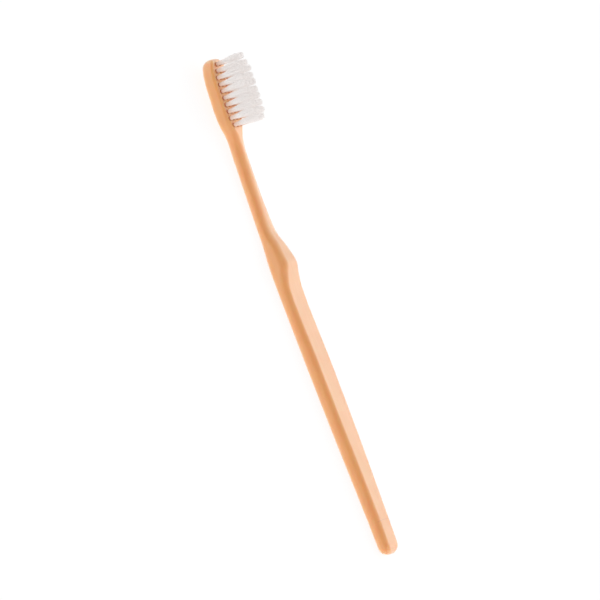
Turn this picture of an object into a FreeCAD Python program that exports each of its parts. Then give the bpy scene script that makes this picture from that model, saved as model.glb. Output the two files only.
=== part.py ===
"""A manual toothbrush: one moulded handle, bristle tufts in blind holes and the metal anchors that hold them.

Millimetres. The brush lies on its back with the bristles up (+Z), the head towards -X and the end of the
handle towards +X. The origin is on the surface that it lies on, half way along and in the middle across.
Places along the brush are measured from the end of the handle towards the tip of the head.
"""
import FreeCAD, Part
import math
import os

# Lengths along the brush, one after another from the end of the handle to the tip of the head
grip_length = 93.5
hollow_length = 8.0
stop_rise_length = 9.3
stop_fall_length = 15.2
neck_length = 27.5
neck_end_length = 4.0
head_swell_length = 13.5
head_full_length = 8.0
tip_oval_length = 11.0

# Grip: the wide flat part that the hand holds
grip_width = 11.5
grip_end_width = 8.8
grip_thickness = 5.38
grip_back_round = 2.2
grip_front_round = 1.8
grip_front_round_height = 2.75
end_round_length = 3.2
end_round_width = 3.3
end_back_round_height = 2.8
end_front_round_height = 1.7

# Thumb rest: a shallow hollow in the front, then a raised stop in front of the thumb
hollow_thickness = 5.05
ramp_thickness = 5.25
stop_height = 7.6
stop_width = 10.8
stop_front_round = 2.7
stop_front_round_height = 3.0

# Neck: wide and thin behind the stop, then slim and almost round
neck_root_width = 7.5
neck_root_thickness = 4.6
neck_root_front_round = 2.8
neck_width = 5.45
neck_thickness = 5.2
neck_rise = 0.48
neck_front_lift = 0.35

# Head: a flat plate that leans towards the bristle side
head_width = 11.2
head_thickness = 5.35
head_tilt_degrees = 3.6
tip_face_height = 8.52
head_back_round = 1.9
head_front_round = 1.0
tip_flat_width = 2.6
tip_round_length = 2.2
tip_round_height = 1.6

# Tufts, in rows counted from the tip of the head
tufts_per_row = (2, 3, 4, 4, 4, 4, 4, 4, 4, 3)
first_row_from_tip = 2.5
row_pitch = 2.56
hole_diameter = 1.7
hole_floor = 1.85
hole_mouth_chamfer = 0.12
tuft_root_clearance = 0.02
tuft_free_length = 10.6
tuft_tip_gap = 0.1
tuft_tip_round = 0.25
fold_round = 0.55

# Anchors: flat metal plates that pinch each tuft at its fold and bite into the wall of the hole
anchor_thickness = 0.28
anchor_height = 1.5
anchor_bite = 0.22
anchor_floor_gap = 0.5
anchor_turn_degrees = 35.0

# Making allowances: what the moulding leaves on its flat faces, and how far a cutting tool runs past
flat_trim = 0.04
overrun = 1.0

# Shape of the outlines between the places above: (share of the run, share of the change)
grip_taper_shares = ((0.18, 0.22), (0.39, 0.64), (0.53, 0.87), (0.73, 1.0))
grip_front_shares = ((0.0, 0.84), (0.03, 0.9), (0.1, 0.94), (0.25, 0.975), (0.5, 1.0), (0.77, 1.0))
stop_rise_shares = ((0.6, 0.53),)
shoulder_shares = ((0.16, 0.1), (0.36, 0.4), (0.55, 0.7), (0.75, 0.87))
stop_fall_shares = ((0.17, 0.11), (0.34, 0.28), (0.53, 0.47), (0.71, 0.79))
neck_taper_shares = ((0.26, 0.41), (0.48, 0.64), (0.69, 0.8))
head_swell_shares = ((0.14, 0.05), (0.35, 0.29), (0.56, 0.7), (0.78, 0.92))
section_round_limit_share = 0.47
head_rim_share = 0.192
arc_middle_share = 1 - math.sqrt(0.5)
arc_weight = math.sqrt(0.5)

# Number of cross-sections in each stretch, and how they draw together at the end of the grip
end_section_count = 12
grip_section_count = 16
thumb_section_count = 18
neck_section_count = 9
swell_section_count = 10
tip_section_count = 10
grip_spacing_power = 1.5

hollow_place = grip_length
ramp_place = hollow_place + hollow_length
stop_place = ramp_place + stop_rise_length
neck_root_place = stop_place + stop_fall_length
neck_place = neck_root_place + neck_length
head_start_place = neck_place + neck_end_length
head_full_place = head_start_place + head_swell_length
oval_place = head_full_place + head_full_length
overall_length = oval_place + tip_oval_length
half_length = overall_length / 2

head_slope = math.tan(math.radians(head_tilt_degrees))
field_length = (len(tufts_per_row) - 1) * row_pitch
field_place = overall_length - first_row_from_tip - field_length / 2
column_pitch = head_width * (1 - 2 * head_rim_share) / (max(tufts_per_row) - 1)
hole_depth = head_thickness - hole_floor
hole_radius = hole_diameter / 2
root_radius = hole_radius - tuft_root_clearance
tip_radius = (min(row_pitch, column_pitch) - tuft_tip_gap) / 2
anchor_length = hole_diameter + 2 * anchor_bite


def head_face(place):
    """Height of the bristle face of the head at a place along the brush."""
    return tip_face_height - (overall_length - place) * head_slope


def head_back(place):
    """Height of the back of the head at a place along the brush."""
    return head_face(place) - head_thickness


def run(start, finish, shares):
    """Stations between two (place, value) stations, each a share of the run and of the change."""
    stations = []
    for run_share, change_share in shares:
        place = start[0] + run_share * (finish[0] - start[0])
        value = start[1] + change_share * (finish[1] - start[1])
        stations.append((place, value))
    return stations


def head_swell_places():
    """Places where the head widens out of the neck."""
    stations = run((head_start_place, 0.0), (head_full_place, 0.0), head_swell_shares)
    return [place for place, _ in stations]


def faired(place, stations):
    """Value at a place on a smooth curve through the stations that never overshoots them."""
    if place <= stations[0][0]:
        return stations[0][1]
    if place >= stations[-1][0]:
        return stations[-1][1]
    pairs = list(zip(stations, stations[1:]))
    gaps = [after[0] - before[0] for before, after in pairs]
    grades = [(after[1] - before[1]) / gap for (before, after), gap in zip(pairs, gaps)]
    slopes = [grades[0]]
    for before, after in zip(grades, grades[1:]):
        slopes.append(2 * before * after / (before + after) if before * after > 0 else 0.0)
    slopes.append(grades[-1])
    index = max(number for number, station in enumerate(stations) if station[0] <= place)
    t = (place - stations[index][0]) / gaps[index]
    start_part = (1 + 2 * t) * (1 - t) ** 2 * stations[index][1]
    finish_part = t ** 2 * (3 - 2 * t) * stations[index + 1][1]
    start_lean = t * (1 - t) ** 2 * gaps[index] * slopes[index]
    finish_lean = t ** 2 * (t - 1) * gaps[index] * slopes[index + 1]
    return start_part + finish_part + start_lean + finish_lean


def width_stations():
    """Widths across the brush from the end of the grip to the full width of the head."""
    end = (0.0, grip_end_width)
    ramp = (ramp_place, grip_width)
    stop = (stop_place, stop_width)
    root = (neck_root_place, neck_root_width)
    neck = (neck_place, neck_width)
    start = (head_start_place, neck_width)
    full = (head_full_place, head_width)
    stations = [end] + run(end, ramp, grip_taper_shares) + [ramp, stop]
    stations += run(stop, root, shoulder_shares) + [root]
    stations += run(root, neck, neck_taper_shares) + [neck, start]
    stations += run(start, full, head_swell_shares) + [full]
    return stations


def front_stations():
    """Heights of the front, the side that the bristles are on."""
    ramp = (ramp_place, ramp_thickness)
    stop = (stop_place, stop_height)
    root = (neck_root_place, neck_root_thickness)
    neck_front = neck_rise + neck_thickness
    stations = run((0.0, 0.0), (grip_length, grip_thickness), grip_front_shares)
    stations += [(hollow_place, hollow_thickness), ramp] + run(ramp, stop, stop_rise_shares) + [stop]
    stations += run(stop, root, stop_fall_shares) + [root, (neck_place, neck_front)]
    stations.append((head_start_place, neck_front + neck_front_lift))
    for place in head_swell_places()[1:] + [overall_length]:
        stations.append((place, head_face(place) + flat_trim))
    return stations


def back_stations():
    """Heights of the back: flat along the grip, then rising through the neck to the head."""
    stations = [(0.0, -flat_trim), (neck_root_place, -flat_trim), (neck_place, neck_rise)]
    for place in head_swell_places()[2:] + [overall_length]:
        stations.append((place, head_back(place)))
    return stations


def back_round_stations():
    """Corner radii on the back of the brush."""
    return [
        (0.0, grip_back_round),
        (stop_place, grip_back_round),
        (neck_root_place, section_round_limit_share * neck_root_thickness),
        (neck_place, section_round_limit_share * neck_thickness),
        (head_full_place, head_back_round),
    ]


def front_across_stations():
    """How far the rounded edges on the front of the brush reach across it."""
    return [
        (0.0, grip_front_round),
        (ramp_place, grip_front_round),
        (stop_place, stop_front_round),
        (neck_root_place, neck_root_front_round),
        (neck_place, section_round_limit_share * neck_width),
        (head_full_place, head_front_round),
    ]


def front_down_stations():
    """How far the rounded edges on the front of the brush reach down its sides."""
    return [
        (0.0, grip_front_round_height),
        (ramp_place, grip_front_round_height),
        (stop_place, stop_front_round_height),
        (neck_root_place, section_round_limit_share * neck_root_thickness),
        (neck_place, section_round_limit_share * neck_thickness),
        (head_full_place, head_front_round),
    ]


def rounding(distance, length):
    """Share of an end rounding that is still cut away at a distance from that end."""
    if distance >= length:
        return 0.0
    return 1 - math.sqrt(1 - (1 - distance / length) ** 2)


def section_places():
    """Places of the cross-sections, closest together where the outline turns."""
    places = []
    for step in range(end_section_count):
        turn = math.pi / 2 * (step / end_section_count) ** 2
        places.append(end_round_length * (1 - math.cos(turn)))
    for step in range(grip_section_count):
        reach = (step / grip_section_count) ** grip_spacing_power
        places.append(end_round_length + reach * (grip_length - end_round_length))
    stretches = (
        (hollow_place, neck_root_place, thumb_section_count),
        (neck_root_place, head_start_place, neck_section_count),
        (head_start_place, head_full_place, swell_section_count),
    )
    for start, finish, count in stretches:
        places += [start + (finish - start) * step / count for step in range(count)]
    places += [head_full_place, (head_full_place + oval_place) / 2]
    for step in range(tip_section_count + 1):
        turn = math.pi / 2 * step / tip_section_count
        places.append(oval_place + tip_oval_length * math.sin(turn))
    return places


def cross_section(place):
    """Control points round the brush at a place: eight runs of three, a corner arc and a side in turn."""
    end_cut = rounding(place, end_round_length)
    tip_cut = rounding(overall_length - place, tip_round_length)
    oval_cut = rounding(overall_length - place, tip_oval_length)
    width = faired(place, width_stations()) - 2 * end_cut * end_round_width
    half_width = (width - oval_cut * (head_width - tip_flat_width)) / 2
    back = faired(place, back_stations()) + end_cut * end_back_round_height + tip_cut * tip_round_height
    front = faired(place, front_stations()) - end_cut * end_front_round_height - tip_cut * tip_round_height
    limit = section_round_limit_share * min(front - back, 2 * half_width)
    back_round = min(limit, faired(place, back_round_stations()))
    room_across = 2 * section_round_limit_share * half_width
    front_across = min(room_across, faired(place, front_across_stations()))
    room_down = 2 * section_round_limit_share * (front - back) - back_round
    front_down = min(room_down, faired(place, front_down_stations()))
    corners = (
        (-half_width, back, 1, 1, back_round, back_round),
        (half_width, back, -1, 1, back_round, back_round),
        (half_width, front, -1, -1, front_across, front_down),
        (-half_width, front, 1, -1, front_across, front_down),
    )
    x = half_length - place
    arcs = []
    for number, (y, z, inward_y, inward_z, across, down) in enumerate(corners):
        on_side = FreeCAD.Vector(x, y, z + inward_z * down)
        on_flat = FreeCAD.Vector(x, y + inward_y * across, z)
        arc = [on_side, FreeCAD.Vector(x, y, z), on_flat]
        arcs.append(arc if number % 2 == 0 else arc[::-1])
    runs = []
    for arc, following in zip(arcs, arcs[1:] + arcs[:1]):
        start, finish = arc[2], following[0]
        runs += [arc, [start, (start + finish) / 2, finish]]
    return runs


def skin(tracks, parameters, middle_weight):
    """Smooth face along the brush through three tracks of control points, one list for each track."""
    curves = []
    for track in tracks:
        curve = Part.BSplineCurve()
        curve.interpolate(Points=track, Parameters=parameters)
        curves.append(curve)
    poles = [curve.getPoles() for curve in curves]
    weights = [[weight] * len(poles[0]) for weight in (1, middle_weight, 1)]
    along = curves[0]
    surface = Part.BSplineSurface()
    surface.buildFromPolesMultsKnots(
        poles, [3, 3], along.getMultiplicities(), [0, 1], along.getKnots(),
        False, False, 2, along.Degree, weights,
    )
    return surface


def outer_body():
    """Closed solid of the whole outside, skinned through the cross-sections."""
    sections = [cross_section(place) for place in section_places()]
    parameters = [0.0]
    for before, after in zip(sections, sections[1:]):
        steps = [(now[1] - then[1]).Length for then, now in zip(before, after)]
        parameters.append(parameters[-1] + sum(steps) / len(steps))
    surfaces = []
    for number in range(len(sections[0])):
        tracks = [[section[number][point] for section in sections] for point in range(3)]
        surfaces.append(skin(tracks, parameters, arc_weight if number % 2 == 0 else 1))
    faces = [surface.toShape() for surface in surfaces]
    for parameter in (parameters[0], parameters[-1]):
        faces.append(Part.Face(Part.Wire([surface.vIso(parameter).toShape() for surface in surfaces])))
    shell = Part.Shell(faces)
    shell.sewShape()
    return Part.Solid(shell)


def on_head(shape):
    """The shape, moved from the frame of the tuft field (Z square to the face) to its place on the brush."""
    centre = FreeCAD.Vector(half_length - field_place, 0, head_face(field_place))
    lean = FreeCAD.Rotation(FreeCAD.Vector(0, 1, 0), head_tilt_degrees)
    shape.Placement = FreeCAD.Placement(centre, lean).multiply(shape.Placement)
    return shape


def tuft_places():
    """(row, number in the row, x, y) of every tuft, in the frame of the tuft field."""
    places = []
    for row, count in enumerate(tufts_per_row):
        x = row * row_pitch - field_length / 2
        for number in range(count):
            y = (number - (count - 1) / 2) * column_pitch
            places.append((row + 1, number + 1, x, y))
    return places


def outline_point(radius, height):
    """Point of a turned outline."""
    return FreeCAD.Vector(radius, 0, height)


def turned(edges, x, y):
    """Solid turned about an upright axis at x, y from the closed edges of its half outline."""
    face = Part.Face(Part.Wire(edges))
    solid = face.revolve(FreeCAD.Vector(0, 0, 0), FreeCAD.Vector(0, 0, 1), 360)
    solid.translate(FreeCAD.Vector(x, y, 0))
    return solid


def tuft_hole(x, y):
    """Tool for one blind hole with a slightly flared mouth."""
    mouth_radius = hole_radius + hole_mouth_chamfer
    corners = (
        (0.0, -hole_depth),
        (hole_radius, -hole_depth),
        (hole_radius, -hole_mouth_chamfer),
        (mouth_radius, 0.0),
        (mouth_radius, overrun),
        (0.0, overrun),
    )
    points = [outline_point(radius, height) for radius, height in corners]
    return turned(Part.makePolygon(points + points[:1]).Edges, x, y)


def anchor(x, y):
    """One flat anchor plate, turned so that the bites of neighbouring holes don't line up."""
    plate = Part.makeBox(anchor_length, anchor_thickness, anchor_height)
    plate.translate(FreeCAD.Vector(-anchor_length / 2, -anchor_thickness / 2, anchor_floor_gap - hole_depth))
    plate.rotate(FreeCAD.Vector(0, 0, 0), FreeCAD.Vector(0, 0, 1), anchor_turn_degrees)
    plate.translate(FreeCAD.Vector(x, y, 0))
    return plate


def tuft(x, y):
    """One tuft: folded round its anchor at the foot, spreading a little to a trimmed top."""
    sag = arc_middle_share * fold_round
    foot = outline_point(0.0, -hole_depth)
    fold_start = outline_point(root_radius - fold_round, -hole_depth)
    fold_middle = outline_point(root_radius - sag, sag - hole_depth)
    fold_end = outline_point(root_radius, fold_round - hole_depth)
    face_level = outline_point(root_radius, 0.0)
    shoulder = outline_point(tip_radius, tuft_free_length - tuft_tip_round)
    crown = outline_point(tip_radius - tuft_tip_round, tuft_free_length)
    top = outline_point(0.0, tuft_free_length)
    edges = [
        Part.makeLine(foot, fold_start),
        Part.Arc(fold_start, fold_middle, fold_end).toShape(),
        Part.makeLine(fold_end, face_level),
        Part.makeLine(face_level, shoulder),
        Part.makeLine(shoulder, crown),
        Part.makeLine(crown, top),
        Part.makeLine(top, foot),
    ]
    return turned(edges, x, y).cut(anchor(x, y))


def flat_tools():
    """Boxes that leave the back of the grip and the face of the head truly flat."""
    length = overall_length + 2 * overrun
    breadth = grip_width + head_width
    below = Part.makeBox(length, breadth, head_thickness)
    below.translate(FreeCAD.Vector(-length / 2, -breadth / 2, -head_thickness))
    reach = overall_length - head_start_place + overrun
    above = Part.makeBox(reach, breadth, head_thickness)
    above.translate(FreeCAD.Vector(field_place - head_start_place - reach, -breadth / 2, 0))
    return [below, on_head(above)]


def handle():
    """Head, neck, thumb rest and grip as one moulding, with its holes and the bites of the anchors."""
    places = [(x, y) for _, _, x, y in tuft_places()]
    flat_body = outer_body().cut(flat_tools())
    holed_body = flat_body.cut([on_head(tuft_hole(x, y)) for x, y in places])
    return holed_body.cut([on_head(anchor(x, y)) for x, y in places])


def write(name, shape):
    """Writes one piece to its own file."""
    shape.exportStep(os.path.join("parts", name + ".step"))


def main():
    """Builds every piece and writes it."""
    os.makedirs("parts", exist_ok=True)
    write("handle", handle())
    anchors_by_row = {}
    for row, number, x, y in tuft_places():
        write(f"tuft_row_{row:02d}_hole_{number}", on_head(tuft(x, y)))
        anchors_by_row.setdefault(row, []).append(on_head(anchor(x, y)))
    for row, plates in anchors_by_row.items():
        write(f"anchors_row_{row:02d}", Part.makeCompound(plates))


main()
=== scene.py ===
"""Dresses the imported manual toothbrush: satin peach handle, nylon bristle tufts and their metal anchors.

The brush lies on its flat back with the bristles up (+Z), the head towards -X and the end of the handle
towards +X. Lengths are in metres, so sizes that a maker gives in millimetres are written as a number
times MM.
"""
import logging
import math
import random
from dataclasses import dataclass, field
from enum import Enum
from typing import Iterator

import bmesh
import bpy
from mathutils import Matrix, Vector

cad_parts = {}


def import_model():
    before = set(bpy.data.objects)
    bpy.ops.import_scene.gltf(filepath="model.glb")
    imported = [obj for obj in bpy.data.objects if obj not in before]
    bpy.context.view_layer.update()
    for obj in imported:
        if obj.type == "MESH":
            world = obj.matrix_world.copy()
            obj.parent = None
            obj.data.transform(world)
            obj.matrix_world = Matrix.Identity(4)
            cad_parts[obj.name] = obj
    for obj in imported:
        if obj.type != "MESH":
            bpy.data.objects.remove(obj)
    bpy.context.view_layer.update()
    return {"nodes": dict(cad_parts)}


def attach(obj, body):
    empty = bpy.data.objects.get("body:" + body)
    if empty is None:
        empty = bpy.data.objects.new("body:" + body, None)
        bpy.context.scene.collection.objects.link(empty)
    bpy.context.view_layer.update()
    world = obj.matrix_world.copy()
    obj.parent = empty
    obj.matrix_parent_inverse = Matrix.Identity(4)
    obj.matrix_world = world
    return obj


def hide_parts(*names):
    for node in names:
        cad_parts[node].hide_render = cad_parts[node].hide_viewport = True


MM = 0.001
BODY = "root"
log = logging.getLogger("toothbrush")

Colour = tuple[float, float, float]
Span = tuple[float, float]
Socket = bpy.types.NodeSocket

UNIT: Span = (0.0, 1.0)
MIX_COLOURS = (6, 7)
MIX_RESULT = 2


class Slot(Enum):
    """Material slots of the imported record."""

    HANDLE = "handle"
    BRISTLES = "bristles"
    ANCHORS = "anchors"


class Leg(Enum):
    """The two halves of a filament that is folded round its anchor."""

    FRONT = 1
    BACK = -1


class StrandMark(Enum):
    """Values that every vertex of a filament carries for its finish."""

    TONE = "strand_tone"
    REACH = "strand_reach"


def linear(red: int, green: int, blue: int) -> Colour:
    """Turns a colour of a paint chart into the linear values that shaders take.

    Args:
        red: Red of the chart, 0 to 255.
        green: Green of the chart, 0 to 255.
        blue: Blue of the chart, 0 to 255.

    Returns:
        The three linear values.
    """
    values = []
    # The curve is that of the sRGB standard.
    for level in (red, green, blue):
        share = level / 255
        values.append(share / 12.92 if share <= 0.04045 else ((share + 0.055) / 1.055) ** 2.4)
    return tuple(values)


class NodeSheet:
    """A node tree with short ways to add nodes and to join them."""

    def __init__(self, tree: bpy.types.NodeTree) -> None:
        """Keeps the tree that nodes are added to."""
        self.tree = tree

    def add(self, kind: str, **settings: object) -> bpy.types.Node:
        """Adds one node.

        Args:
            kind: Blender's name of the node type.
            settings: Properties of the node, by name.

        Returns:
            The new node.
        """
        node = self.tree.nodes.new(kind)
        for name, value in settings.items():
            setattr(node, name, value)
        return node

    def join(self, source: Socket, target: Socket) -> None:
        """Links an output to an input."""
        self.tree.links.new(source, target)

    def noise(self, vector: Socket, scale: float, detail: float) -> Socket:
        """Adds a noise texture.

        Args:
            vector: Coordinates that the noise reads.
            scale: Features for each metre.
            detail: Number of finer layers.

        Returns:
            The noise value, about 0.5 on average.
        """
        node = self.add("ShaderNodeTexNoise")
        node.inputs["Scale"].default_value = scale
        node.inputs["Detail"].default_value = detail
        self.join(vector, node.inputs["Vector"])
        return node.outputs["Fac"]

    def math(self, operation: str, first: object, second: object = None) -> Socket:
        """Adds one step of arithmetic.

        Args:
            operation: Blender's name of the operation.
            first: A socket or a number.
            second: A socket, a number or nothing.

        Returns:
            The result.
        """
        node = self.add("ShaderNodeMath", operation=operation)
        for value, socket in zip((first, second), node.inputs):
            if isinstance(value, Socket):
                self.join(value, socket)
            elif value is not None:
                socket.default_value = value
        return node.outputs["Value"]

    def scaled(self, value: Socket, by: float) -> Socket:
        """Multiplies a value by a number."""
        return self.math("MULTIPLY", value, by)

    def dot(self, vector: Socket, towards: Vector) -> Socket:
        """Adds the length of a vector along a direction.

        Args:
            vector: The vector to measure.
            towards: The direction.

        Returns:
            The length.
        """
        node = self.add("ShaderNodeVectorMath", operation="DOT_PRODUCT")
        node.inputs[1].default_value = towards
        self.join(vector, node.inputs[0])
        return node.outputs["Value"]

    def span(self, value: Socket, old: Span, new: Span) -> Socket:
        """Maps a value from one span to another with a soft start and finish.

        Args:
            value: The value to map.
            old: Start and finish of the old span.
            new: Start and finish of the new span.

        Returns:
            The mapped value.
        """
        node = self.add("ShaderNodeMapRange", interpolation_type="SMOOTHSTEP")
        self.join(value, node.inputs["Value"])
        for name, number in zip(("From Min", "From Max", "To Min", "To Max"), (*old, *new)):
            node.inputs[name].default_value = number
        return node.outputs["Result"]

    def blend(self, share: Socket, first: object, second: object) -> Socket:
        """Mixes two colours.

        Args:
            share: How much of the second colour shows.
            first: A colour or a colour socket.
            second: A colour or a colour socket.

        Returns:
            The mixed colour.
        """
        node = self.add("ShaderNodeMix", data_type="RGBA")
        self.join(share, node.inputs["Factor"])
        for value, number in zip((first, second), MIX_COLOURS):
            socket = node.inputs[number]
            if isinstance(value, Socket):
                self.join(value, socket)
            else:
                socket.default_value = (*value, 1.0)
        return node.outputs[MIX_RESULT]


class SurfaceGrain:
    """Shader group that every finish shares: drawn or flowed streaks, fine grain and handling marks."""

    NAME = "surface_grain"
    INPUTS = {
        "Streak Length": 12 * MM,
        "Streak Width": 0.8 * MM,
        "Grain Size": 0.15 * MM,
        "Mark Size": 9 * MM,
    }
    OUTPUTS = ("Streak", "Grain", "Marks")
    STREAK_DETAIL = 2.0
    GRAIN_DETAIL = 1.0
    MARK_DETAIL = 3.0

    @classmethod
    def tree(cls) -> bpy.types.NodeTree:
        """The group's tree, made at its first use."""
        return bpy.data.node_groups.get(cls.NAME) or cls._made()

    @classmethod
    def _made(cls) -> bpy.types.NodeTree:
        """Builds the group.

        Returns:
            The new tree.
        """
        tree = bpy.data.node_groups.new(cls.NAME, "ShaderNodeTree")
        tree.interface.new_socket("Vector", in_out="INPUT", socket_type="NodeSocketVector")
        for name, size in cls.INPUTS.items():
            socket = tree.interface.new_socket(name, in_out="INPUT", socket_type="NodeSocketFloat")
            socket.default_value = size
        for name in cls.OUTPUTS:
            tree.interface.new_socket(name, in_out="OUTPUT", socket_type="NodeSocketFloat")
        sheet = NodeSheet(tree)
        given = sheet.add("NodeGroupInput").outputs
        result = sheet.add("NodeGroupOutput").inputs
        along = sheet.math("DIVIDE", 1.0, given["Streak Length"])
        across = sheet.math("DIVIDE", 1.0, given["Streak Width"])
        pull = sheet.add("ShaderNodeCombineXYZ")
        for source, axis in ((along, "X"), (across, "Y"), (across, "Z")):
            sheet.join(source, pull.inputs[axis])
        drawn = sheet.add("ShaderNodeVectorMath", operation="MULTIPLY")
        sheet.join(given["Vector"], drawn.inputs[0])
        sheet.join(pull.outputs[0], drawn.inputs[1])
        sheet.join(sheet.noise(drawn.outputs[0], 1.0, cls.STREAK_DETAIL), result["Streak"])
        layers = (("Grain Size", "Grain", cls.GRAIN_DETAIL), ("Mark Size", "Marks", cls.MARK_DETAIL))
        for size, name, detail in layers:
            scaled = sheet.add("ShaderNodeVectorMath", operation="SCALE")
            sheet.join(given["Vector"], scaled.inputs[0])
            sheet.join(sheet.math("DIVIDE", 1.0, given[size]), scaled.inputs["Scale"])
            sheet.join(sheet.noise(scaled.outputs[0], 1.0, detail), result[name])
        return tree


class Finish:
    """What every finish does: it makes one material with a lone Principled surface."""

    name: str

    def started(self) -> tuple[bpy.types.Material, NodeSheet, bpy.types.Node]:
        """Starts a material.

        Returns:
            The material, its node sheet and its Principled node.
        """
        material = bpy.data.materials.new(self.name)
        material.use_nodes = True
        material.node_tree.nodes.clear()
        sheet = NodeSheet(material.node_tree)
        surface = sheet.add("ShaderNodeBsdfPrincipled")
        output = sheet.add("ShaderNodeOutputMaterial")
        sheet.join(surface.outputs["BSDF"], output.inputs["Surface"])
        return material, sheet, surface

    @staticmethod
    def settle(surface: bpy.types.Node, values: dict[str, object]) -> None:
        """Sets plain values on the surface's own sockets."""
        for name, value in values.items():
            surface.inputs[name].default_value = value

    @staticmethod
    def grain(sheet: NodeSheet, **sizes: float) -> tuple[Socket, bpy.types.NodeOutputs]:
        """Places the shared grain group on object coordinates.

        Args:
            sheet: Node sheet of the material.
            sizes: Sizes of the group by input name, with _ for a space.

        Returns:
            The object coordinates and the group's outputs.
        """
        place = sheet.add("ShaderNodeTexCoord").outputs["Object"]
        group = sheet.add("ShaderNodeGroup", node_tree=SurfaceGrain.tree())
        for name, size in sizes.items():
            group.inputs[name.replace("_", " ").title()].default_value = size
        sheet.join(place, group.inputs["Vector"])
        return place, group.outputs

    @staticmethod
    def relief(sheet: NodeSheet, surface: bpy.types.Node, height: Socket, depth: float) -> None:
        """Raises the surface by a height pattern.

        Args:
            sheet: Node sheet of the material.
            surface: The Principled node.
            height: Pattern from 0 to 1.
            depth: Height of the pattern in metres.
        """
        bump = sheet.add("ShaderNodeBump")
        bump.inputs["Strength"].default_value = 1.0
        bump.inputs["Distance"].default_value = depth
        sheet.join(height, bump.inputs["Height"])
        sheet.join(bump.outputs["Normal"], surface.inputs["Normal"])


@dataclass(frozen=True)
class SatinPlastic(Finish):
    """Moulded peach plastic with a satin skin that light sinks into a little."""

    name: str = "satin_peach_plastic"
    body: Colour = linear(252, 179, 103)
    deep: Colour = linear(249, 171, 95)
    line: Colour = linear(226, 150, 100)
    flow_length: float = 22 * MM
    flow_width: float = 1.1 * MM
    grain_size: float = 0.16 * MM
    cloud_size: float = 7 * MM
    flow_span: Span = (0.3, 0.7)
    cloud_span: Span = (0.35, 0.65)
    flow_share: float = 0.55
    cloud_share: float = 0.45
    line_share: float = 0.55
    roughness: Span = (0.36, 0.44)
    flow_roughness: float = 0.03
    index: float = 1.49
    scatter: Colour = (0.8, 0.5, 0.25)
    light_depth: float = 2.3 * MM
    coat_roughness: float = 0.38
    coat_index: float = 1.6
    haze: float = 1.0
    haze_spread: float = 0.48
    grain_height: float = 0.5
    line_depth: float = 1.5
    relief_depth: float = 0.012 * MM
    insert_line_x: float = 82.5 * MM
    insert_line_width: float = 0.22 * MM
    insert_line_bow: float = 9.0
    front_level: float = 3.9 * MM
    front_fade: float = 1.0 * MM

    def material(self) -> bpy.types.Material:
        """Makes the material.

        Returns:
            The finished material.
        """
        material, sheet, surface = self.started()
        place, grain = self.grain(
            sheet,
            streak_length=self.flow_length,
            streak_width=self.flow_width,
            grain_size=self.grain_size,
            mark_size=self.cloud_size,
        )
        flow = sheet.span(grain["Streak"], self.flow_span, UNIT)
        cloud = sheet.span(grain["Marks"], self.cloud_span, UNIT)
        tint = sheet.math("ADD", sheet.scaled(flow, self.flow_share), sheet.scaled(cloud, self.cloud_share))
        seam = self._insert_line(sheet, place)
        colour = sheet.blend(tint, self.body, self.deep)
        colour = sheet.blend(sheet.scaled(seam, self.line_share), colour, self.line)
        sheet.join(colour, surface.inputs["Base Color"])
        clouded = sheet.span(cloud, UNIT, self.roughness)
        gloss = sheet.math("ADD", clouded, sheet.scaled(flow, self.flow_roughness))
        sheet.join(gloss, surface.inputs["Roughness"])
        values = {
            "IOR": self.index,
            "Subsurface Weight": 1.0,
            "Subsurface Radius": self.scatter,
            "Subsurface Scale": self.light_depth,
            "Coat Weight": 1.0,
            "Coat Roughness": self.coat_roughness,
            "Coat IOR": self.coat_index,
            "Sheen Weight": self.haze,
            "Sheen Roughness": self.haze_spread,
        }
        self.settle(surface, values)
        raised = sheet.scaled(grain["Grain"], self.grain_height)
        height = sheet.math("SUBTRACT", raised, sheet.scaled(seam, self.line_depth))
        self.relief(sheet, surface, height, self.relief_depth)
        return material

    def _insert_line(self, sheet: NodeSheet, place: Socket) -> Socket:
        """Mask of the hairline that the mould's end insert leaves across the front of the grip.

        Args:
            sheet: Node sheet of the material.
            place: Object coordinates.

        Returns:
            A mask, 1 on the line.
        """
        axes = sheet.add("ShaderNodeSeparateXYZ")
        sheet.join(place, axes.inputs[0])
        bow = sheet.scaled(sheet.math("POWER", axes.outputs["Y"], 2.0), self.insert_line_bow)
        along = sheet.math("SUBTRACT", axes.outputs["X"], bow)
        offset = sheet.math("ABSOLUTE", sheet.math("SUBTRACT", along, self.insert_line_x))
        on_line = sheet.span(offset, (0.0, self.insert_line_width), (1.0, 0.0))
        on_front = sheet.span(axes.outputs["Z"], (self.front_level, self.front_level + self.front_fade), UNIT)
        return sheet.math("MULTIPLY", on_line, on_front)


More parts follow.
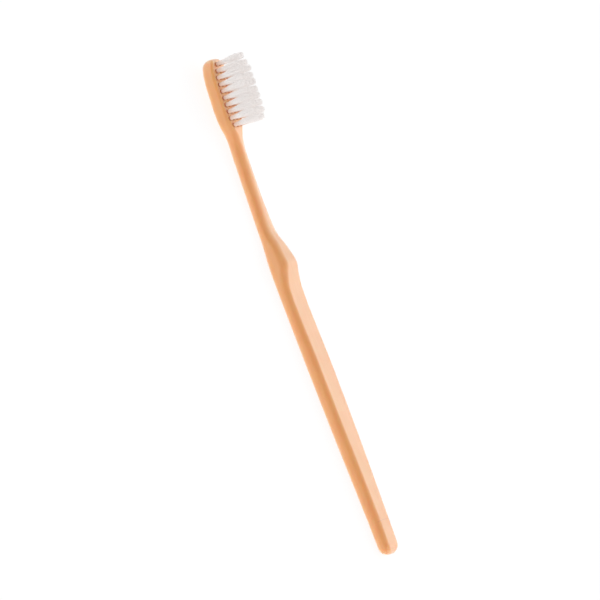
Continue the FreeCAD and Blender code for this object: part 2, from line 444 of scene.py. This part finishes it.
@dataclass(frozen=True)
class DrawnNylon(Finish):
    """Milky nylon filament: smooth along its length, frosted where its tip is ground round."""

    name: str = "drawn_nylon"
    pale: Colour = linear(254, 252, 251)
    grey: Colour = linear(251, 246, 244)
    # Painted shade: dark orange-brown for the shadowed roots of the filaments in the mouth of the hole.
    painted_root_shade: Colour = linear(222, 128, 66)
    # Painted reflected light: orange that the lower filaments take on, as if lit by light bounced off the
    # orange head.
    painted_orange_bounce: Colour = linear(246, 182, 124)
    fleck_size: float = 0.25 * MM
    grain_size: float = 0.05 * MM
    mark_size: float = 2.5 * MM
    tone_share: float = 0.7
    mark_share: float = 0.3
    frost_reach: Span = (0.94, 1.0)
    frost_share: float = 0.5
    painted_orange_bounce_reach: Span = (0.02, 0.4)
    painted_orange_bounce_share: float = 0.42
    painted_root_shade_reach: Span = (0.008, 0.035)
    painted_root_shade_share: float = 0.85
    fleck_span: Span = (0.3, 0.7)
    roughness: Span = (0.24, 0.34)
    frost_roughness: float = 0.3
    index: float = 1.53
    relief_depth: float = 0.002 * MM
    # Strength of the painted glow, which only diffuse rays see.
    painted_glow: float = 0.18

    def material(self) -> bpy.types.Material:
        """Makes the material. Its painted glow stands in for light scattered between the filaments:
        it reaches only the pieces round it, never the camera.

        Returns:
            The finished material.
        """
        material, sheet, surface = self.started()
        _, grain = self.grain(
            sheet,
            streak_length=self.fleck_size,
            streak_width=self.fleck_size,
            grain_size=self.grain_size,
            mark_size=self.mark_size,
        )
        tone = sheet.add("ShaderNodeAttribute", attribute_name=StrandMark.TONE.value).outputs["Fac"]
        reach = sheet.add("ShaderNodeAttribute", attribute_name=StrandMark.REACH.value).outputs["Fac"]
        marks = sheet.scaled(grain["Marks"], self.mark_share)
        shade = sheet.math("ADD", sheet.scaled(tone, self.tone_share), marks)
        frost = sheet.span(reach, self.frost_reach, UNIT)
        # Painted reflected light: the lower part of each filament turns orange.
        painted_orange_bounce = sheet.span(reach, self.painted_orange_bounce_reach, (self.painted_orange_bounce_share, 0.0))
        # Painted shade: the roots, inside the hole and just above it, darken to brown.
        painted_root_shade = sheet.span(reach, self.painted_root_shade_reach, (self.painted_root_shade_share, 0.0))
        colour = sheet.blend(shade, self.pale, self.grey)
        colour = sheet.blend(sheet.scaled(frost, self.frost_share), colour, self.pale)
        colour = sheet.blend(painted_orange_bounce, colour, self.painted_orange_bounce)
        sheet.join(sheet.blend(painted_root_shade, colour, self.painted_root_shade), surface.inputs["Base Color"])
        drawn = sheet.span(grain["Streak"], self.fleck_span, self.roughness)
        gloss = sheet.math("ADD", drawn, sheet.scaled(frost, self.frost_roughness))
        sheet.join(gloss, surface.inputs["Roughness"])
        self.relief(sheet, surface, grain["Grain"], self.relief_depth)
        self.settle(surface, {"IOR": self.index, "Emission Color": (*self.pale, 1.0)})
        # Painted glow: the filaments give off light to diffuse rays only, standing in for light scattered
        # among them.
        passed_on = sheet.add("ShaderNodeLightPath").outputs["Is Diffuse Ray"]
        sheet.join(sheet.scaled(passed_on, self.painted_glow), surface.inputs["Emission Strength"])
        material.cycles.emission_sampling = "NONE"
        return material


@dataclass(frozen=True)
class RolledStrip(Finish):
    """Bright nickel-brass strip with rolling lines and slightly dulled faces."""

    name: str = "rolled_nickel_brass"
    bright: Colour = linear(214, 204, 178)
    dull: Colour = linear(180, 168, 140)
    line_length: float = 2.5 * MM
    line_width: float = 0.03 * MM
    grain_size: float = 0.04 * MM
    mark_size: float = 0.6 * MM
    line_span: Span = (0.3, 0.7)
    roughness: Span = (0.22, 0.42)
    relief_depth: float = 0.002 * MM

    def material(self) -> bpy.types.Material:
        """Makes the material.

        Returns:
            The finished material.
        """
        material, sheet, surface = self.started()
        _, grain = self.grain(
            sheet,
            streak_length=self.line_length,
            streak_width=self.line_width,
            grain_size=self.grain_size,
            mark_size=self.mark_size,
        )
        sheet.join(sheet.blend(grain["Marks"], self.bright, self.dull), surface.inputs["Base Color"])
        sheet.join(sheet.span(grain["Streak"], self.line_span, self.roughness), surface.inputs["Roughness"])
        self.settle(surface, {"Metallic": 1.0})
        self.relief(sheet, surface, grain["Streak"], self.relief_depth)
        return material


@dataclass(frozen=True)
class StudioWhite(Finish):
    """Matt white of the floor: white to the camera, and it keeps the shadow of what stands on it."""

    name: str = "studio_white"
    sheet_colour: Colour = (0.3, 0.3, 0.3)
    glow: float = 0.95
    seen_colour: Colour = (0.18, 0.18, 0.18)
    seen_white: float = 0.86

    def material(self) -> bpy.types.Material:
        """Makes the material.

        Returns:
            The finished material.
        """
        material = bpy.data.materials.new(self.name)
        material.use_nodes = True
        material.node_tree.nodes.clear()
        sheet = NodeSheet(material.node_tree)
        path = sheet.add("ShaderNodeLightPath").outputs
        seen = sheet.math("MAXIMUM", path["Is Camera Ray"], path["Is Glossy Ray"])
        seen = sheet.math("MAXIMUM", seen, path["Is Transmission Ray"])
        mix = sheet.add("ShaderNodeMixShader")
        sheet.join(seen, mix.inputs[0])
        sheet.join(self._lit(sheet, self.sheet_colour, self.glow), mix.inputs[1])
        sheet.join(self._lit(sheet, self.seen_colour, self.seen_white), mix.inputs[2])
        output = sheet.add("ShaderNodeOutputMaterial")
        sheet.join(mix.outputs[0], output.inputs["Surface"])
        return material

    @staticmethod
    def _lit(sheet: NodeSheet, colour: Colour, glow: float) -> Socket:
        """A matt surface with a glow of its own.

        Args:
            sheet: Node sheet of the material.
            colour: Colour of the matt surface.
            glow: Strength of the glow, where 1 is white.

        Returns:
            The surface's shader.
        """
        matt = sheet.add("ShaderNodeBsdfDiffuse")
        matt.inputs["Color"].default_value = (*colour, 1.0)
        soft = sheet.add("ShaderNodeEmission")
        soft.inputs["Strength"].default_value = glow
        both = sheet.add("ShaderNodeAddShader")
        sheet.join(matt.outputs[0], both.inputs[0])
        sheet.join(soft.outputs[0], both.inputs[1])
        return both.outputs[0]


@dataclass
class Handle:
    """The moulding: head, neck, thumb rest and grip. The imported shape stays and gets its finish."""

    finish: SatinPlastic = field(default_factory=SatinPlastic)
    node: str = "handle"

    def dress(self, nodes: dict[str, bpy.types.Object]) -> None:
        """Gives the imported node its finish.

        Args:
            nodes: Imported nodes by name.
        """
        piece = nodes[self.node]
        piece.data.materials.clear()
        piece.data.materials.append(self.finish.material())
        log.info("%s: %d faces, %s", piece.name, len(piece.data.polygons), self.finish.name)


@dataclass
class AnchorPlates:
    """Flat metal plates that pinch the tufts at the bottom of their holes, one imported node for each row."""

    row_count: int
    finish: RolledStrip = field(default_factory=RolledStrip)

    def dress(self, nodes: dict[str, bpy.types.Object]) -> None:
        """Gives every packed row its finish.

        Args:
            nodes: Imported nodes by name.
        """
        material = self.finish.material()
        for row in range(1, self.row_count + 1):
            piece = nodes[f"anchors_row_{row:02d}"]
            piece.data.materials.clear()
            piece.data.materials.append(material)
            log.info("%s: %s", piece.name, self.finish.name)


@dataclass(frozen=True)
class TuftPlace:
    """Where one tuft stands in the field."""

    row: int
    number: int
    x: float
    y: float

    @property
    def node(self) -> str:
        """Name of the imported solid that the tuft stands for."""
        return f"tuft_row_{self.row:02d}_hole_{self.number}"

    @property
    def piece(self) -> str:
        """Name of the dressed tuft."""
        return f"bristles_row_{self.row:02d}_hole_{self.number}"


@dataclass
class BristleField:
    """All tufts of the head: bundles of nylon filaments, folded round their anchors, with trimmed ends."""

    tufts_per_row: tuple[int, ...] = (2, 3, 4, 4, 4, 4, 4, 4, 4, 3)
    row_pitch: float = 2.56 * MM
    column_pitch: float = 2.3 * MM
    field_centre: Vector = field(default_factory=lambda: Vector((-80.98 * MM, 0.0, 7.638 * MM)))
    head_tilt: float = math.radians(3.6)
    hole_radius: float = 0.85 * MM
    mouth_radius: float = 0.72 * MM
    mouth_shift: float = 0.05 * MM
    hole_depth: float = 3.5 * MM
    anchor_turn: float = math.radians(35)
    anchor_half_thickness: float = 0.14 * MM
    anchor_foot: float = 0.5 * MM
    free_length: float = 10.6 * MM
    strand_radius: float = 0.095 * MM
    strand_sides: int = 5
    folds_per_tuft: int = 22
    spread: Vector = field(default_factory=lambda: Vector((0.68 * MM, 0.45 * MM, 0.0)))
    splay_height_share: float = 0.82
    splay_power: float = 1.55
    crown: float = 1.2 * MM
    crown_power: int = 7
    row_leans_mm: tuple[float, ...] = (0.2, 0.05, -0.3, 0.0, -0.25, 0.1, -0.15, 0.05, 0.1, 0.1)
    side_lean: float = 0.3 * MM
    side_lean_power: int = 3
    tuft_stray: float = 0.09 * MM
    tuft_trim: float = 0.22 * MM
    strand_stray: float = 0.08 * MM
    odd_stray_times: int = 3
    usual_share: float = 0.93
    strand_trim_mm: Span = (-0.12, 0.05)
    fold_wander_share: float = 0.25
    pinch_share: float = 0.8
    tip_radius_share: float = 0.55
    tip_length_share: float = 1.2
    bend_shares: tuple[float, ...] = (0.62, 0.3, 0.0)
    seed: int = 7
    finish: DrawnNylon = field(default_factory=DrawnNylon)

    def places(self) -> Iterator[TuftPlace]:
        """Yields the place of every tuft, row by row from the tip of the head."""
        middle = (len(self.tufts_per_row) - 1) / 2
        for row, count in enumerate(self.tufts_per_row):
            for number in range(count):
                across = (number - (count - 1) / 2) * self.column_pitch
                yield TuftPlace(row + 1, number + 1, (row - middle) * self.row_pitch, across)

    def build(self) -> None:
        """Builds every tuft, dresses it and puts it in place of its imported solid."""
        material = self.finish.material()
        for place in self.places():
            piece = self._tuft(place)
            piece.data.materials.append(material)
            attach(piece, BODY)
            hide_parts(place.node)
            log.info("%s: %d faces, %s", piece.name, len(piece.data.polygons), self.finish.name)

    def _tuft(self, place: TuftPlace) -> bpy.types.Object:
        """Builds one tuft.

        Args:
            place: Where the tuft stands.

        Returns:
            The tuft as a mesh object at the origin.
        """
        draw = random.Random(self.seed * 1000 + place.row * 10 + place.number)
        shape = bmesh.new()
        tone_layer = shape.verts.layers.float.new(StrandMark.TONE.value)
        reach_layer = shape.verts.layers.float.new(StrandMark.REACH.value)
        stray = Vector((draw.gauss(0, self.tuft_stray), draw.gauss(0, self.tuft_stray), 0.0))
        lean = self._lean(place) + stray
        lean.z = draw.uniform(-self.tuft_trim, 0.0)
        for across, off_anchor in self._folds(draw):
            tone = draw.random()
            front = self._leg(across, off_anchor, Leg.FRONT, lean, draw)
            back = self._leg(across, off_anchor, Leg.BACK, lean, draw)
            line = front + [self._fold_bottom(across, off_anchor)] + back[::-1]
            for vertex in self._strand(shape, line):
                vertex[tone_layer] = tone
                vertex[reach_layer] = max(0.0, vertex.co.z / self.free_length)
        stand = Matrix.Translation(self.field_centre) @ Matrix.Rotation(self.head_tilt, 4, "Y")
        stand = stand @ Matrix.Translation((place.x, place.y, 0.0))
        bmesh.ops.transform(shape, matrix=stand, verts=shape.verts[:])
        bmesh.ops.recalc_face_normals(shape, faces=shape.faces[:])
        for face in shape.faces:
            face.smooth = True
        mesh = bpy.data.meshes.new(place.piece)
        shape.to_mesh(mesh)
        shape.free()
        piece = bpy.data.objects.new(place.piece, mesh)
        bpy.context.scene.collection.objects.link(piece)
        return piece

    def _lean(self, place: TuftPlace) -> Vector:
        """How far the top of a tuft leans: each row a little its own way, and the outer columns outwards.

        Args:
            place: Where the tuft stands.

        Returns:
            The shift of the top.
        """
        across = place.y / ((max(self.tufts_per_row) - 1) / 2 * self.column_pitch)
        outwards = across ** self.side_lean_power * self.side_lean
        return Vector((self.row_leans_mm[place.row - 1] * MM, outwards, 0.0))

    def _folds(self, draw: random.Random) -> Iterator[Span]:
        """Spreads the folded filaments evenly over the mouth of the hole.

        Args:
            draw: Seeded source of small differences.

        Yields:
            Where a filament crosses the face of the head, along the anchor and off it.
        """
        bundle = self.mouth_radius - self.strand_radius
        turn = math.pi * (3 - math.sqrt(5))
        for number in range(2 * self.folds_per_tuft):
            radius = bundle * math.sqrt((number + 0.5) / (2 * self.folds_per_tuft))
            across, off_anchor = radius * math.cos(number * turn), radius * math.sin(number * turn)
            if off_anchor > 0:
                wander = self.fold_wander_share * self.strand_radius
                yield across + draw.uniform(-wander, wander), off_anchor + draw.uniform(-wander, wander)

    def _turned(self, across: float, off_anchor: float, height: float) -> Vector:
        """Point given along the anchor, off it and above the face of the head, in the frame of the tuft."""
        return Matrix.Rotation(self.anchor_turn, 3, "Z") @ Vector((across, off_anchor, height))

    def _pinched(self, off_anchor: float) -> float:
        """Moves a filament aside by the thickness of the plate.

        Args:
            off_anchor: Place off the anchor at the face of the head.

        Returns:
            Distance off the middle of the anchor at its foot.
        """
        clear = self.anchor_half_thickness + self.strand_radius
        room = self.hole_radius - self.strand_radius
        return clear + off_anchor * (room - clear) / room

    def _leg(
        self, across: float, off_anchor: float, leg: Leg, lean: Vector, draw: random.Random
    ) -> list[Vector]:
        """Middle line of one half of a filament, from its tip down to the foot of the anchor.

        Args:
            across: Place along the anchor at the face of the head.
            off_anchor: Place off the anchor at the face of the head.
            leg: Which half of the filament.
            lean: Shift of the top of the tuft.
            draw: Seeded source of small differences.

        Returns:
            Points of the line.
        """
        side = leg.value
        root = self._turned(across, side * off_anchor, 0.0)
        share = root.length / (self.mouth_radius - self.strand_radius)
        heading = root.normalized()
        root.y += self.mouth_shift
        out = Vector((heading.x * self.spread.x, heading.y * self.spread.y, 0.0)) * share
        stray = self.strand_stray * (self.odd_stray_times if draw.random() > self.usual_share else 1)
        out += Vector((lean.x, lean.y, 0.0)) + Vector((draw.gauss(0, stray), draw.gauss(0, stray), 0.0))
        crown = self.crown * share ** self.crown_power
        top = self.free_length + lean.z - crown + draw.uniform(*self.strand_trim_mm) * MM
        shoulder = top - self.tip_length_share * self.strand_radius
        points = []
        for height in (top, shoulder, *(bend * top for bend in self.bend_shares)):
            spread = min(1.0, height / (self.splay_height_share * top)) ** self.splay_power
            points.append(root + out * spread + Vector((0.0, 0.0, height)))
        foot = self.anchor_foot - self.hole_depth
        points.append(self._turned(self.pinch_share * across, side * self._pinched(off_anchor), foot))
        return points

    def _fold_bottom(self, across: float, off_anchor: float) -> Vector:
        """Lowest point of a filament, under the foot of the anchor.

        Args:
            across: Place along the anchor at the face of the head.
            off_anchor: Place off the anchor at the face of the head.

        Returns:
            The point.
        """
        room = self.anchor_foot - 2 * self.strand_radius
        share = off_anchor / self.hole_radius
        height = self.anchor_foot - self.hole_depth - self.strand_radius - share * room
        return self._turned(self.pinch_share * across, 0.0, height)

    def _strand(self, shape: bmesh.types.BMesh, line: list[Vector]) -> list[bmesh.types.BMVert]:
        """Draws one filament out along its middle line.

        Args:
            shape: Mesh that the filament is added to.
            line: Points of the middle line, from tip to tip.

        Returns:
            The new vertices.
        """
        heading = line[1] - line[0]
        pose = Matrix.Translation(line[0]) @ heading.to_track_quat("Z", "X").to_matrix().to_4x4()
        tip_radius = self.tip_radius_share * self.strand_radius
        ring = bmesh.ops.create_circle(
            shape, cap_ends=True, segments=self.strand_sides, radius=tip_radius, matrix=pose
        )["verts"]
        vertices = list(ring)
        edges = list({edge for vertex in ring for edge in vertex.link_edges})
        last = len(line) - 1
        sizes = {1: self.strand_radius / tip_radius, last: tip_radius / self.strand_radius}
        for number in range(1, len(line)):
            grown = bmesh.ops.extrude_edge_only(shape, edges=edges)["geom"]
            ring = [item for item in grown if isinstance(item, bmesh.types.BMVert)]
            edges = [item for item in grown if isinstance(item, bmesh.types.BMEdge)
                     and all(vertex in ring for vertex in item.verts)]
            before = line[number] - line[number - 1]
            after = line[min(number + 1, last)] - line[min(number, last - 1)]
            ahead = before.normalized() + after.normalized()
            turn = heading.rotation_difference(ahead).to_matrix().to_4x4()
            step = Matrix.Translation(line[number]) @ turn @ Matrix.Scale(sizes.get(number, 1.0), 4)
            step = step @ Matrix.Translation(-line[number - 1])
            bmesh.ops.transform(shape, matrix=step, verts=ring)
            heading = ahead
            vertices += ring
        bmesh.ops.edgeloop_fill(shape, edges=edges)
        return vertices


@dataclass
class Studio:
    """Floor, surrounding light and camera."""

    floor_size: float = 4.0
    floor_drop: float = 0.02 * MM
    light_level: float = 0.865
    light_lean: Vector = field(default_factory=lambda: Vector((0.3, 0.46, 0.2)))
    darkest: float = 0.1
    panel_level: float = 1.3
    panel_towards: Vector = field(default_factory=lambda: Vector((0.0, 0.84, 0.545)))
    panel_focus: float = 10.0
    aim: Vector = field(default_factory=lambda: Vector((-2.0 * MM, 0.0, 5.0 * MM)))
    azimuth: float = math.radians(6)
    elevation: float = math.radians(31)
    roll: float = math.radians(65.9)
    distance: float = 1.5
    frame_width: float = 216.1 * MM
    sensor: float = 36.0
    sight: float = 20.0
    finish: StudioWhite = field(default_factory=StudioWhite)

    def build(self) -> None:
        """Builds the whole studio."""
        self._floor()
        self._surroundings()
        self._camera()
        log.info("studio: floor, surroundings and camera")

    def _floor(self) -> None:
        """Lays the floor under the brush."""
        shape = bmesh.new()
        drop = Matrix.Translation((0, 0, -self.floor_drop))
        bmesh.ops.create_grid(shape, x_segments=1, y_segments=1, size=self.floor_size / 2, matrix=drop)
        mesh = bpy.data.meshes.new("floor")
        shape.to_mesh(mesh)
        shape.free()
        floor = bpy.data.objects.new("floor", mesh)
        floor.data.materials.append(self.finish.material())
        bpy.context.scene.collection.objects.link(floor)

    def _surroundings(self) -> None:
        """Sets the soft light of the room, brightest above and behind the brush. The camera sees white."""
        world = bpy.data.worlds.new("room")
        bpy.context.scene.world = world
        world.use_nodes = True
        world.node_tree.nodes.clear()
        sheet = NodeSheet(world.node_tree)
        towards = sheet.add("ShaderNodeTexCoord").outputs["Generated"]
        lean = sheet.dot(towards, self.light_lean)
        level = sheet.math("MAXIMUM", sheet.math("ADD", lean, self.light_level), self.darkest)
        facing = sheet.math("MAXIMUM", sheet.dot(towards, self.panel_towards), 0.0)
        panel = sheet.scaled(sheet.math("POWER", facing, self.panel_focus), self.panel_level)
        level = sheet.math("ADD", level, panel)
        seen = sheet.add("ShaderNodeLightPath").outputs["Is Camera Ray"]
        background = sheet.add("ShaderNodeBackground")
        sheet.join(sheet.math("MAXIMUM", level, seen), background.inputs["Strength"])
        output = sheet.add("ShaderNodeOutputWorld")
        sheet.join(background.outputs[0], output.inputs["Surface"])

    def _camera(self) -> None:
        """Places the camera: from the near side, raised, and rolled so that the brush slants."""
        lens = bpy.data.cameras.new("camera")
        lens.sensor_width = self.sensor
        lens.lens = self.sensor * self.distance / self.frame_width
        lens.clip_end = self.sight
        holder = bpy.data.objects.new("camera", lens)
        level = math.cos(self.elevation)
        sideways, away = level * math.sin(self.azimuth), level * math.cos(self.azimuth)
        back = Vector((sideways, -away, math.sin(self.elevation)))
        pose = back.to_track_quat("Z", "Y").to_matrix().to_4x4() @ Matrix.Rotation(self.roll, 4, "Z")
        holder.matrix_world = Matrix.Translation(self.aim + back * self.distance) @ pose
        bpy.context.scene.collection.objects.link(holder)
        bpy.context.scene.camera = holder


def main() -> None:
    """Builds the studio and dresses the brush, sub-assembly by sub-assembly."""
    logging.basicConfig(level=logging.INFO, format="%(message)s")
    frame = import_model()
    bpy.context.scene.view_settings.view_transform = "Standard"
    Studio().build()
    bristles = BristleField()
    Handle().dress(frame["nodes"])
    AnchorPlates(len(bristles.tufts_per_row)).dress(frame["nodes"])
    bristles.build()


if __name__ == "__main__":
    main()
